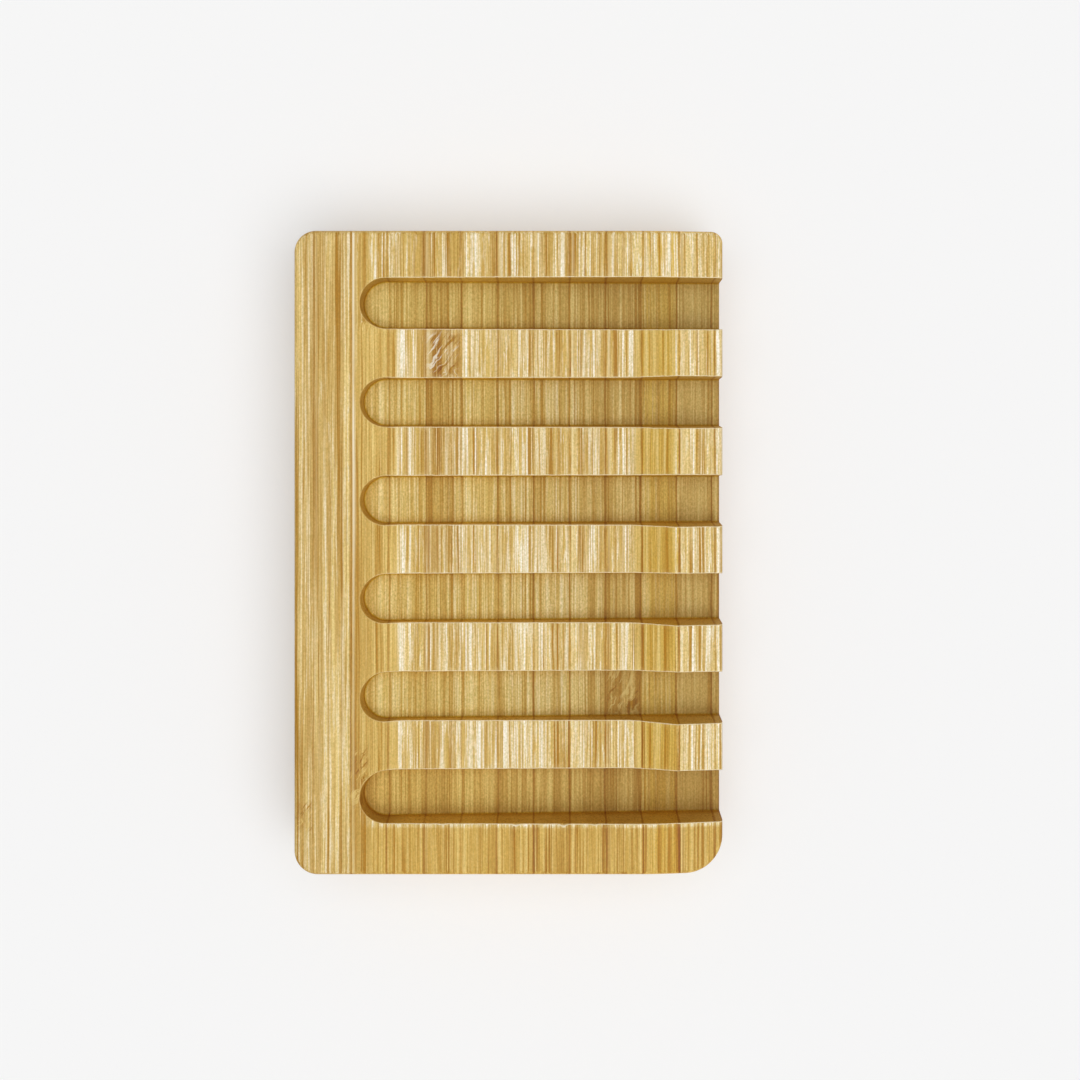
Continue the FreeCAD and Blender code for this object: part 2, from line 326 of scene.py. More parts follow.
def back_end(x):
    """Y of the outline's back end at x, with the two back corner arcs."""
    rim = np.clip(BACK_RIM_CORNER - (x + HALF_WIDTH), 0.0, BACK_RIM_CORNER)
    lip = np.clip(BACK_LIP_CORNER - (HALF_WIDTH - x), 0.0, BACK_LIP_CORNER)
    cut = BACK_RIM_CORNER - np.sqrt(BACK_RIM_CORNER**2 - rim**2)
    return HALF_LENGTH - cut - BACK_LIP_CORNER + np.sqrt(BACK_LIP_CORNER**2 - lip**2)


def front_end(x):
    """Y of the outline's front end at x, with the two front corner arcs."""
    rim = np.clip(FRONT_RIM_CORNER - (x + HALF_WIDTH), 0.0, FRONT_RIM_CORNER)
    lip = np.clip(FRONT_LIP_CORNER - (HALF_WIDTH - x), 0.0, FRONT_LIP_CORNER)
    cut = FRONT_RIM_CORNER - np.sqrt(FRONT_RIM_CORNER**2 - rim**2)
    return -HALF_LENGTH + cut + FRONT_LIP_CORNER - np.sqrt(FRONT_LIP_CORNER**2 - lip**2)


def between(a, b, count):
    """Rows evenly spaced between two rows, without the two themselves."""
    t = np.linspace(0.0, 1.0, count + 2)[1:-1, None]
    return a + (b - a) * t


def half_groove(x, y):
    """Distances from the centre line for one half of a groove, centre first: floor, foot fillet,
    wall, shoulder. x and y are points on the deck just outside the wall."""
    out = wall_top(x, deck_height(x, y)) - GROOVE_HALF
    soft = edge_break(x, y)
    flat = (GROOVE_HALF - FLOOR_FILLET) * FLOOR_SHARES[:, None] + 0.0 * out
    foot = GROOVE_HALF - FLOOR_FILLET * (1.0 - np.sin(QUARTER_TURN))[:, None] + 0.0 * out
    wall = GROOVE_HALF + out * WALL_SHARES[:, None]
    shoulder = GROOVE_HALF + out + soft * (1.0 - np.cos(QUARTER_TURN))[:, None]
    return np.vstack([flat, foot, wall, shoulder])


def strip_columns(start, end):
    """X stations of a strip, close together at the board's two outer edges."""
    x = np.linspace(start, end, STRIP_COLUMNS)
    if start <= -HALF_WIDTH + 0.01:
        x = np.concatenate([[start], start + EDGE_STATIONS, x[x > start + EDGE_ZONE]])
    if end >= HALF_WIDTH - 0.01:
        x = np.concatenate([x[x < end - EDGE_ZONE], end - EDGE_STATIONS[::-1], [end]])
    return x


def grid_faces(rows, columns):
    """Quads of a grid whose rows run to -Y and whose columns run to +X, facing up."""
    number = np.arange(rows * columns).reshape(rows, columns)
    quads = np.stack([number[:-1, :-1], number[1:, :-1], number[1:, 1:], number[:-1, 1:]], axis=-1)
    return quads.reshape(-1, 4)


def edge_rows(x):
    """Rows over the rounded back edge and the rounded front edge, from the outline inwards."""
    inset = (EDGE_ROUND * (1.0 - np.cos(QUARTER_TURN)))[:, None]
    return back_end(x) - inset, front_end(x) + inset


def rows_plan(x, rows):
    """Plan with these rows of Y over the same X stations."""
    y = np.vstack(rows)
    return np.broadcast_to(x, y.shape).ravel(), y.ravel(), grid_faces(*y.shape)


def plain_plan(start, end):
    """Plan of a strip without grooves: rows spaced evenly between the two outline ends."""
    x = strip_columns(start, end)
    back, front = edge_rows(x)
    return rows_plan(x, [back, between(back[-1], front[-1], PLAIN_ROWS), front[::-1]])


def grooved_plan(start, end):
    """Plan of a strip that the grooves run across: rows follow every floor, foot, wall and shoulder."""
    x = strip_columns(start, end)
    back, front = edge_rows(x)
    rows = [back]
    last = back[-1]
    for place in range(GROOVE_COUNT):
        middle = GROOVE_FIRST - GROOVE_PITCH * place
        upper = middle + half_groove(x, middle + GROOVE_HALF + BESIDE_GROOVE + 0.0 * x)
        lower = middle - half_groove(x, middle - GROOVE_HALF - BESIDE_GROOVE + 0.0 * x)
        rows += [between(last, upper[-1], RIDGE_ROWS), upper[::-1], lower[1:]]
        last = lower[-1]
    rows += [between(last, front[-1], RIDGE_ROWS), front[::-1]]
    return rows_plan(x, rows)


def round_end_cell(start, end, middle):
    """Plan round one groove's round end: rays leave the centre line square to it, and the rows follow
    the groove's outline out to the shoulder, then ease to the cell's straight border."""
    half = 0.5 * GROOVE_PITCH
    corner = math.atan2(half, start - GROOVE_END)
    turn = np.concatenate([
        np.linspace(0.5 * math.pi, corner, SIDE_RAYS),
        np.linspace(corner, 2.0 * math.pi - corner, END_RAYS)[1:],
        np.linspace(2.0 * math.pi - corner, 1.5 * math.pi, SIDE_RAYS)[1:],
    ])
    run = np.array([end, 0.5 * (end + GROOVE_END)])
    foot = np.concatenate([run, np.full(len(turn), GROOVE_END), run[::-1]])
    turn = np.concatenate([np.full(2, 0.5 * math.pi), turn, np.full(2, 1.5 * math.pi)])
    to_x, to_y = np.cos(turn), np.sin(turn)
    to_x[np.abs(to_x) < TINY] = 0.0
    side = half / np.maximum(np.abs(to_y), TINY)
    left = (GROOVE_END - start) / np.maximum(-to_x, TINY)
    border = np.minimum(side, left)
    guess = GROOVE_HALF + BESIDE_GROOVE
    near = half_groove(foot + guess * to_x, middle + guess * to_y)
    far = between(near[-1], border, RIDGE_ROWS)
    reach = np.vstack([near, far, border[None, :]])
    x = foot + reach * to_x
    y = middle + reach * to_y
    return x.ravel(), y.ravel(), grid_faces(*reach.shape)


def round_end_plan(start, end):
    """Plan of the strip with the six round ends: one cell for each groove, and beyond them a band at
    each end on the cell border's own X stations."""
    cells = []
    for place in range(GROOVE_COUNT):
        cells.append(round_end_cell(start, end, GROOVE_FIRST - GROOVE_PITCH * place))
    half = 0.5 * GROOVE_PITCH
    first = GROOVE_FIRST + half
    last = GROOVE_FIRST - GROOVE_PITCH * (GROOVE_COUNT - 1) - half
    on_border = np.abs(cells[0][1] - first) < SAME_ROW
    x = np.unique(np.round(cells[0][0][on_border], 6))
    back, front = edge_rows(x)
    first_row, last_row = np.full((1, len(x)), first), np.full((1, len(x)), last)
    cells.append(rows_plan(x, [back, between(back[-1], first, BAND_ROWS), first_row]))
    cells.append(rows_plan(x, [last_row, between(last, front[-1], BAND_ROWS), front[::-1]]))
    return join_cells(cells)


def join_cells(cells):
    """One plan from several, with the points that fall together made one."""
    x = np.concatenate([cell[0] for cell in cells])
    y = np.concatenate([cell[1] for cell in cells])
    starts = np.cumsum([0] + [len(cell[0]) for cell in cells[:-1]])
    quads = np.vstack([cell[2] + start for cell, start in zip(cells, starts)])
    keys = np.round(np.column_stack([x, y]), 4)
    points, number = np.unique(keys, axis=0, return_inverse=True)
    return points[:, 0], points[:, 1], number.reshape(-1)[quads]


def face_up(x, y, quads):
    """Quads turned so that each one faces up, by the sign of its area in plan."""
    ring = np.roll(quads, -1, axis=1)
    area = (x[quads] * y[ring] - x[ring] * y[quads]).sum(axis=1)
    keep = np.abs(area) > TINY
    turned = np.where((area < 0.0)[:, None], quads[:, ::-1], quads)
    return turned[keep]


def drop_repeats(quads):
    """Splits quads into true quads and the triangles left where two corners fell together."""
    same = quads == np.roll(quads, -1, axis=1)
    whole = ~same.any(axis=1)
    pinched = quads[~whole]
    start = np.argmax(same[~whole], axis=1)
    order = (start[:, None] + np.arange(1, 4)) % 4
    return quads[whole], np.take_along_axis(pinched, order, axis=1)


def rim_walls(quads, triangles, count):
    """Wall quads below every edge of the plan that has a face on one side only."""
    sides = [np.column_stack([f[:, i], f[:, (i + 1) % f.shape[1]]])
             for f in (quads, triangles) for i in range(f.shape[1])]
    sides = np.vstack(sides).astype(np.int64)
    forward = sides[:, 0] * count + sides[:, 1]
    backward = sides[:, 1] * count + sides[:, 0]
    p, q = sides[~np.isin(forward, backward)].T
    return np.column_stack([p, p + count, q + count, q])


def make_strip(name, plan):
    """A strip as the closed solid between the upper face and the underside over its plan, with walls down
    its rim. The masks of wear and of painted light and shade are kept as attributes of its face corners: as
    worked out on the upper face, none below, and on the walls by the share of cut fibre ends, |dx| / length
    of the wall."""
    x, y, quads = plan
    quads, triangles = drop_repeats(face_up(x, y, quads))
    count = len(x)
    x2, y2 = np.concatenate([x, x]), np.concatenate([y, y])
    z = np.concatenate([top_face(x, y), base_face(x, y)])
    walls = rim_walls(quads, triangles, count)
    parts = [quads, triangles, quads[:, ::-1] + count, triangles[:, ::-1] + count, walls]
    faces = [face for part in parts for face in part.tolist()]
    mesh = bpy.data.meshes.new(name)
    mesh.from_pydata((np.column_stack([x2, y2, z]) * MM).tolist(), [], faces)
    upper = np.concatenate([quads.reshape(-1), triangles.reshape(-1)])
    step_x, step_y = x2[walls[:, 3]] - x2[walls[:, 0]], y2[walls[:, 3]] - y2[walls[:, 0]]
    ends = np.repeat(np.abs(step_x) / np.maximum(np.hypot(step_x, step_y), TINY), 4)
    none = np.zeros(len(ends))
    on_walls = {"milled": none, "edge": none, "foot": none}
    on_walls |= {"rubbed_and_sheen": WALL_SHEEN_AND_RUB * (1.0 - ends), "cut": ENDS_CUT * ends}
    for mask, values in wear_and_painted_light_masks(x, y).items():
        layer = mesh.attributes.new(mask, "FLOAT", "CORNER")
        corners = np.concatenate([values[upper], np.zeros(len(upper)), on_walls[mask]])
        layer.data.foreach_set("value", corners.astype(np.float32))
    mesh.shade_smooth()
    mesh.set_sharp_from_angle(angle=math.radians(SHARP_ANGLE))
    mesh.update()
    piece = bpy.data.objects.new(name, mesh)
    bpy.context.scene.collection.objects.link(piece)
    return piece


class Wiring:
    """Places nodes in one node tree and joins their sockets."""

    def __init__(self, tree):
        self.tree = tree

    def feed(self, socket, value):
        """Links a socket to another, or sets it to a plain value."""
        if isinstance(value, bpy.types.NodeSocket):
            self.tree.links.new(value, socket)
        else:
            socket.default_value = value

    def node(self, kind, settings=None, **inputs):
        """A node with its settings; inputs are given by socket name, with _ for a space."""
        made = self.tree.nodes.new(kind)
        for key, value in (settings or {}).items():
            setattr(made, key, value)
        for key, value in inputs.items():
            self.feed(made.inputs[key.replace("_", " ")], value)
        return made

    def math(self, operation, a, b=0.0, c=0.0, clamp=False):
        """One arithmetic step."""
        made = self.tree.nodes.new("ShaderNodeMath")
        made.operation = operation
        made.use_clamp = clamp
        for place, value in enumerate((a, b, c)):
            self.feed(made.inputs[place], value)
        return made.outputs[0]

    def times(self, a, b):
        """The product of two values."""
        return self.math("MULTIPLY", a, b)

    def highest(self, a, b):
        """The higher of two values."""
        return self.math("MAXIMUM", a, b)

    def ease(self, value, low, high, bottom=0.0, top=1.0):
        """Smooth step of a value from low to high, put out between bottom and top."""
        made = self.node("ShaderNodeMapRange", {"interpolation_type": "SMOOTHSTEP"})
        for place, entry in enumerate((value, low, high, bottom, top)):
            self.feed(made.inputs[place], entry)
        return made.outputs[0]

    def mix(self, factor, a, b, blend="MIX"):
        """Two colours mixed by a mask."""
        made = self.node("ShaderNodeMix", {"data_type": "RGBA", "blend_type": blend})
        self.feed(made.inputs[0], factor)
        self.feed(made.inputs[6], a)
        self.feed(made.inputs[7], b)
        return made.outputs[2]

    def stain(self, color, mask, tint):
        """A colour multiplied by a tint under a mask, so that brown stays warm on pale wood."""
        return self.mix(mask, color, self.mix(1.0, color, tint, blend="MULTIPLY"))

    def noise(self, vector, detail=2.0, roughness=0.55):
        """Fractal noise of a vector, about 0 to 1."""
        made = self.node("ShaderNodeTexNoise", Vector=vector, Scale=1.0, Detail=detail, Roughness=roughness)
        return made.outputs[0]

    def vector(self, x, y, z):
        """A vector from three values."""
        return self.node("ShaderNodeCombineXYZ", X=x, Y=y, Z=z).outputs[0]

    def parts(self, vector):
        """The three values of a vector."""
        return self.node("ShaderNodeSeparateXYZ", Vector=vector).outputs

    def mask(self, name):
        """One of the strip's own wear masks."""
        return self.node("ShaderNodeAttribute", {"attribute_name": name}).outputs["Fac"]

    def group(self, tree, **inputs):
        """A shared group with its own values."""
        made = self.tree.nodes.new("ShaderNodeGroup")
        made.node_tree = tree
        for key, value in inputs.items():
            self.feed(made.inputs[key.replace("_", " ")], value)
        return made.outputs


def new_group(name, inputs, outputs):
    """An empty shader group with named sockets: its tree, wiring, input sockets and output node."""
    tree = bpy.data.node_groups.new(name, "ShaderNodeTree")
    kinds = {"float": "NodeSocketFloat", "vector": "NodeSocketVector", "color": "NodeSocketColor"}
    for label, kind in inputs.items():
        tree.interface.new_socket(label, in_out="INPUT", socket_type=kinds[kind])
    for label, kind in outputs.items():
        tree.interface.new_socket(label, in_out="OUTPUT", socket_type=kinds[kind])
    wiring = Wiring(tree)
    entry = tree.nodes.new("NodeGroupInput")
    leave = tree.nodes.new("NodeGroupOutput")
    return tree, wiring, entry.outputs, leave


# A fibre line: noise this far from its middle, where the line fades out and where it is full.
LINE_FADE = (0.040, 0.012)
GRAIN_DETAIL = 4.0
GRAIN_ROUGHNESS = 0.68
GRAIN_DEPTH = 0.8

# The glue line: how the breaks change its reach, and the share of the reach that is fully dark.
GLUE_BREAKS = (0.25, 0.75, 0.5, 1.5)
GLUE_CORE = 0.3

# A knuckle: ragged ends, fade at its border, swerve of the fibres, and the grain of creases and flecks.
KNUCKLE_RAGGED = 0.9
KNUCKLE_FADE = (0.6, 1.1)
KNUCKLE_LEAN = 2.0
KNUCKLE_SWERVE = 3.0
KNUCKLE_LINES = 0.8
KNUCKLE_RUN = 0.16
FLECK_GRAIN = (0.54, 0.60)
CREASE_GRAIN = (0.46, 0.40)


def make_fibre_streaks():
    """Grain along Y: fractal noise n squeezed across X and Z and drawn out along the length. Line marks
    single fibres where n passes its middle, by |n - 0.5|."""
    tree, w, given, leave = new_group(
        "fibre_streaks",
        {"Place": "vector", "Seed": "float", "Lines": "float", "Run": "float"},
        {"Grain": "float", "Line": "float"},
    )
    x, y, z = w.parts(given["Place"])
    across = w.math("MULTIPLY_ADD", x, given["Lines"], given["Seed"])
    along = w.times(w.times(y, given["Lines"]), given["Run"])
    down = w.math("MULTIPLY_ADD", w.times(z, given["Lines"]), GRAIN_DEPTH, given["Seed"])
    grain = w.noise(w.vector(across, along, down), GRAIN_DETAIL, GRAIN_ROUGHNESS)
    off_middle = w.math("ABSOLUTE", w.math("SUBTRACT", grain, 0.5))
    w.feed(leave.inputs["Grain"], grain)
    w.feed(leave.inputs["Line"], w.ease(off_middle, *LINE_FADE))
    return tree


def make_glue_line():
    """Thin dark line at a strip's two glue planes: the near distance in X, broken up along the length."""
    tree, w, given, leave = new_group(
        "glue_line",
        {"Place": "vector", "Start": "float", "End": "float", "Reach": "float", "Seed": "float"},
        {"Mask": "float"},
    )
    x, y, z = w.parts(given["Place"])
    near = w.math("MINIMUM", w.math("SUBTRACT", x, given["Start"]), w.math("SUBTRACT", given["End"], x))
    broken = w.noise(w.vector(given["Seed"], w.times(y, 0.12), w.times(z, 0.2)), detail=3.0)
    reach = w.times(given["Reach"], w.ease(broken, *GLUE_BREAKS))
    w.feed(leave.inputs["Mask"], w.math("SUBTRACT", 1.0, w.ease(near, w.times(reach, GLUE_CORE), reach)))
    return tree


def make_knuckle(streaks):
    """Growth knuckle of the cane: a ragged box-shaped patch, with pale flecks and dark creases that
    swerve where the fibres cross over."""
    tree, w, given, leave = new_group(
        "knuckle",
        {"Place": "vector", "Middle": "vector", "Size": "vector", "Slant": "float", "Seed": "float"},
        {"Mask": "float", "Flecks": "float", "Creases": "float"},
    )
    seed = given["Seed"]
    offset = w.node("ShaderNodeVectorMath", {"operation": "SUBTRACT"})
    w.feed(offset.inputs[0], given["Place"])
    w.feed(offset.inputs[1], given["Middle"])
    x, y, z = w.parts(offset.outputs[0])
    wide, tall, deep = w.parts(given["Size"])
    ragged = w.noise(w.vector(w.times(x, 0.9), w.times(y, 0.3), seed), detail=3.0)
    far_x = w.math("DIVIDE", w.math("ABSOLUTE", x), wide)
    far_y = w.math("DIVIDE", w.math("ABSOLUTE", y), tall)
    far_y = w.math("ADD", far_y, w.math("MULTIPLY_ADD", ragged, KNUCKLE_RAGGED, -0.5 * KNUCKLE_RAGGED))
    far_z = w.math("DIVIDE", w.math("ABSOLUTE", z), deep)
    far = w.highest(w.highest(far_x, far_y), far_z)
    patch = w.math("SUBTRACT", 1.0, w.ease(far, *KNUCKLE_FADE))
    swerve = w.noise(w.vector(w.times(x, 0.3), w.times(y, 0.3), seed))
    lean = w.math("MULTIPLY_ADD", w.times(y, given["Slant"]), w.times(swerve, KNUCKLE_LEAN), x)
    lean = w.math("MULTIPLY_ADD", swerve, KNUCKLE_SWERVE, lean)
    turned = w.vector(lean, y, z)
    crossing = w.group(streaks, Place=turned, Seed=seed, Lines=KNUCKLE_LINES, Run=KNUCKLE_RUN)["Grain"]
    w.feed(leave.inputs["Mask"], patch)
    w.feed(leave.inputs["Flecks"], w.times(patch, w.ease(crossing, *FLECK_GRAIN)))
    w.feed(leave.inputs["Creases"], w.times(patch, w.ease(crossing, *CREASE_GRAIN)))
    return tree


# The streaks of a strip: shift of the seed, lines to the millimetre, run along the length, and output.
FIBRES = {
    "broad": (0.0, 0.70, 0.016, "Grain"),
    "fine": (7.7, 2.00, 0.009, "Grain"),
    "thread": (31.1, 3.20, 0.012, "Grain"),
    "wide_hair": (19.3, 0.36, 0.005, "Line"),
    "thin_hair": (23.7, 0.80, 0.006, "Line"),
    "wide_silver": (53.9, 0.38, 0.010, "Line"),
    "thin_silver": (61.2, 0.75, 0.045, "Line"),
    "scuff": (71.4, 1.50, 0.070, "Grain"),
}

# Tints that multiply the wood's colour.
BROWN_STAIN = (0.830, 0.730, 0.520, 1.0)
# Painted shade on the front band, which lies outside the overhead reflection.
FRONT_SHADE_GOLD = (0.920, 0.850, 0.620, 1.0)
# Brown of sawn faces; its gain above 1 lifts the groove walls that stay in shade: painted light.
SAWN_BROWN_AND_FILL = (1.200, 1.020, 0.600, 1.0)
# Darker tint of sawn faces on the rim side: painted shade on the round ends' walls, which face the key
# light.
RIM_SIDE_SAWN_SHADE = (0.840, 0.660, 0.360, 1.0)
# Painted shade at the feet of the groove walls.
FOOT_SHADE_TINT = (0.780, 0.620, 0.120, 1.0)
FLOOR_AT_RIM = (1.000, 1.050, 1.140, 1.0)
# Painted shade on the floors towards the lip, where the grooves are deepest.
FLOOR_SHADE_AT_LIP = (0.760, 0.760, 0.820, 1.0)
FLOOR_AT_ENDS = (0.900, 0.900, 0.880, 1.0)
# Painted shade in the front groove.
FLOOR_SHADE_AT_FRONT = (0.970, 0.900, 0.740, 1.0)

# Where the finish and its painted shade change over the dish, in millimetres: from and to.
BACK_DULLS = (-14.0, 2.0)
FLOOR_SHADE_RUN = (-25.0, 40.0)
FLOOR_ENDS = (12.0, 50.0)
FLOOR_FRONT = (-34.0, -44.0)
FRONT_BAND = (-50.6, -51.4)
FRONT_BAND_SIDE = (-28.0, -23.0)
RIM_SIDE_SAWN_ZONE = (-23.5, -18.0)
GLUE_REACH = 0.3

# How the streaks add up to the lightness of the grain, and what shifts it.
BROAD_WEIGHT = 1.35
FINE_WEIGHT = 1.1
THREAD_WEIGHT = 1.5
GRAIN_BASE = -1.42
OUTER_DARKENS = 0.24
BACK_DARKENS = 0.075
PALENESS_WEIGHT = 0.3

# Eases of the streaks: from, to, and where given what is put out at each.
DARK_GRAIN = (0.35, 0.06, 0.0, 0.60)
WIDE_HAIRS = (0.60, 0.42, 0.3, 1.0)
LINES_IN_LIGHT = (0.35, 0.58, 0.35, 1.0)
SCUFF_GRAIN = (0.53, 0.64)
WORN_PATCH = (0.50, 0.66, 0.0, 0.80)
BUNDLE_DOT = (0.36, 0.2)
BUNDLES_BY_SIDE = (0.0, 1.0, 0.3, 0.8)
EDGE_SPECKS = (0.35, 0.6, 0.70, 1.0)

# Light pith of the grain: from and to, and how far sanding and the painted sheen move each.
PLAIN_PITH = (0.52, 0.84)
SHEEN_AND_RUB_PITH = (-0.08, -0.12)

# Shares of one effect on another.
THIN_HAIR = 0.5
THIN_SILVER = 0.8
SAWN_LESS_DARK = -0.75
FLOOR_LESS_DARK = -0.2
SAWN_LESS_PITH = -0.6
PLAIN_SHINE = 0.20
SAWN_FULL = 2.0
STAIN_SHARE = 0.7
KNUCKLE_SHARE = 0.5
FLECK_SHARE = 0.65

# Sanding specks: how strong, more on rubbed pith and on floors, and more in blue.
GRIT = 0.72
PITH_GRIT = 0.45
FLOOR_GRIT = 0.3
BLUE_GRIT = 1.9

# The pale line beside the glue: its near side, its far side with the drift of the grain, its fading to
# the front and its breaks.
PALE_LINE_NEAR = (0.25, 0.4)
PALE_LINE_FAR = (0.3, 0.7, 0.75, 1.35)
PALE_LINE_FULL = 0.5
PALE_LINE_FADES = (-40.0, 45.0, 0.4, 1.0)
PALE_LINE_BREAKS = (0.35, 0.6, 0.4, 1.0)

# Sheen and relief.
ROUGH_BASE = 0.48
ROUGH_FLOOR = 0.12
ROUGH_FIBRE = 0.06
PITH_RELIEF = 0.5
BUMP_STRENGTH = 0.45
BUMP_DEPTH = 0.0001
SPECULAR_LEVEL = 0.3


def lay_fibres(w, streaks, grain, seed):
    """The strip's streaks by name, from broad bands to single dark and silver fibres."""
    return {
        name: w.group(streaks, Place=grain, Seed=w.math("ADD", seed, shift), Lines=lines, Run=run)[output]
        for name, (shift, lines, run, output) in FIBRES.items()
    }


def grain_value(w, given, fibres, rubbed_and_sheen, outer, y):
    """How light the grain is, about 0 to 1: the sum of the streaks, lower to the cane's outer side and
    towards the dish's back, and raised by the strip's paleness where sanding and a painted sheen make faces
    pale."""
    value = w.math("MULTIPLY_ADD", fibres["fine"], FINE_WEIGHT, GRAIN_BASE)
    value = w.math("MULTIPLY_ADD", fibres["broad"], BROAD_WEIGHT, value)
    value = w.math("MULTIPLY_ADD", fibres["thread"], THREAD_WEIGHT, value)
    value = w.math("SUBTRACT", value, w.math("MULTIPLY_ADD", outer, OUTER_DARKENS, -0.5 * OUTER_DARKENS))
    value = w.math("SUBTRACT", value, w.times(rubbed_and_sheen, w.ease(y, *BACK_DULLS, 0.0, BACK_DARKENS)))
    paler = w.math("SUBTRACT", given["Paleness"], 1.0)
    return w.math("MULTIPLY_ADD", paler, w.times(rubbed_and_sheen, PALENESS_WEIGHT), value)


def dark_fibres(w, fibres, value, sawn, milled):
    """Dark vascular fibres: the low end of the grain and single hairs, faint on sawn faces and a little
    calmer on milled floors."""
    low = w.ease(value, *DARK_GRAIN)
    wide = w.times(fibres["wide_hair"], w.ease(fibres["broad"], *WIDE_HAIRS))
    hair = w.highest(wide, w.times(fibres["thin_hair"], THIN_HAIR))
    dark = w.times(w.highest(low, hair), w.math("MULTIPLY_ADD", sawn, SAWN_LESS_DARK, 1.0))
    return w.times(dark, w.math("MULTIPLY_ADD", milled, FLOOR_LESS_DARK, 1.0))


def light_pith(w, value, rub_and_sheen, sawn):
    """Light pith: the high end of the grain, reached sooner on sanded, sheen-painted faces, faint on sawn
    ones.
    """
    low, high = (
        w.math("MULTIPLY_ADD", rub_and_sheen, change, plain) for plain, change in zip(PLAIN_PITH, SHEEN_AND_RUB_PITH)
    )
    return w.times(w.ease(value, low, high), w.math("MULTIPLY_ADD", sawn, SAWN_LESS_PITH, 1.0))


def silver_fibres(w, fibres, value, place, seed):
    """White fibres that sanding laid open: single lines in light grain, and short scuffs in worn patches."""
    x, y, z = place
    lines = w.highest(fibres["wide_silver"], w.times(fibres["thin_silver"], THIN_SILVER))
    lines = w.times(lines, w.ease(value, *LINES_IN_LIGHT))
    worn = w.noise(w.vector(w.times(x, 0.17), w.math("MULTIPLY_ADD", y, 0.045, seed), w.times(z, 0.1)))
    scuffs = w.times(w.ease(fibres["scuff"], *SCUFF_GRAIN), w.ease(worn, *WORN_PATCH))
    return w.highest(lines, scuffs)


def sanding_specks(w, place):
    """Fine specks of sanding: noise on coordinates turned out of the grain's direction."""
    x, y, z = place
    turned_x = w.math("MULTIPLY_ADD", y, 1.4, w.times(x, 2.6))
    turned_y = w.math("MULTIPLY_ADD", x, -1.7, w.times(y, 1.9))
    return w.noise(w.vector(turned_x, turned_y, w.times(z, 3.7)), detail=3.0, roughness=0.6)


def speckled(w, color, speck, light, rub_and_sheen, milled):
    """The colour with its specks, stronger on light wood that is sanded and painted with sheen, and on
    floors, and in blue, so that they read as white."""
    grit = w.math("MULTIPLY_ADD", w.times(light, rub_and_sheen), PITH_GRIT, GRIT)
    grit = w.math("MULTIPLY_ADD", milled, FLOOR_GRIT, grit)
    lift = w.times(w.math("SUBTRACT", speck, 0.5), grit)
    sanded = w.math("ADD", lift, 1.0)
    whiter = w.math("MULTIPLY_ADD", lift, BLUE_GRIT, 1.0)
    return w.mix(1.0, color, w.vector(sanded, sanded, whiter), blend="MULTIPLY")


def fibre_ends(w, place, seed, outer):
    """Dots of cut fibre bundles: near the points of a Voronoi pattern, denser to the cane's outer side."""
    x, y, z = place
    bundle = w.node("ShaderNodeTexVoronoi", Scale=1.0)
    across = w.vector(w.times(x, 2.3), w.times(y, 0.02), w.math("MULTIPLY_ADD", z, 1.7, seed))
    w.feed(bundle.inputs["Vector"], across)
    dots = w.ease(bundle.outputs["Distance"], *BUNDLE_DOT)
    return w.times(dots, w.ease(outer, *BUNDLES_BY_SIDE))


def growth_marks(w, given, knuckle, color):
    """The colour with the strip's brown stain and its knuckle."""
    spot = {"Place": given["Place"], "Seed": given["Seed"]}
    stain = w.group(knuckle, Middle=given["Stain"], Size=given["Stain Size"], Slant=0.0, **spot)
    knot = w.group(
        knuckle, Middle=given["Knuckle"], Size=given["Knuckle Size"], Slant=given["Knuckle Slant"], **spot
    )
    color = w.stain(color, w.times(stain["Mask"], STAIN_SHARE), BROWN_STAIN)
    color = w.stain(color, w.times(knot["Mask"], KNUCKLE_SHARE), BROWN_STAIN)
    color = w.stain(color, knot["Creases"], given["Fibre"])
    return w.mix(w.times(knot["Flecks"], FLECK_SHARE), color, given["Fleck"])


def floor_tint(w, x, y):
    """Tint of the groove floors, with painted shade: lighter at the rim side and darker towards the lip,
    where the grooves are deepest, darker towards the dish's two ends, and browner in the front groove, which
    lies most in shade."""
    shade = w.mix(w.ease(x, *FLOOR_SHADE_RUN), FLOOR_AT_RIM, FLOOR_SHADE_AT_LIP)
    shade = w.stain(shade, w.ease(w.math("ABSOLUTE", y), *FLOOR_ENDS), FLOOR_AT_ENDS)
    return w.stain(shade, w.ease(y, *FLOOR_FRONT), FLOOR_SHADE_AT_FRONT)


def front_shade_band(w, x, y, covered):
    """Mask of the golden band in front of the last groove, beside the rim: painted shade, as the band
    lies outside the overhead reflection.
    """
    beside_rim = w.math("SUBTRACT", w.ease(x, *FRONT_BAND_SIDE), covered, clamp=True)
    return w.times(w.ease(y, *FRONT_BAND), beside_rim)


def pale_line(w, given, fibres, across, drift, y, covered):
    """Mask of a pale line beside the glue: of uneven width, broken by fine streaks, fading to the front."""
    far_side = w.ease(across, w.ease(drift, *PALE_LINE_FAR), PALE_LINE_FULL)
    line = w.times(w.ease(across, *PALE_LINE_NEAR), far_side)
    line = w.times(line, w.math("SUBTRACT", given["Pale Line"], covered, clamp=True))
    line = w.times(line, w.ease(y, *PALE_LINE_FADES))
    return w.times(line, w.ease(fibres["fine"], *PALE_LINE_BREAKS))


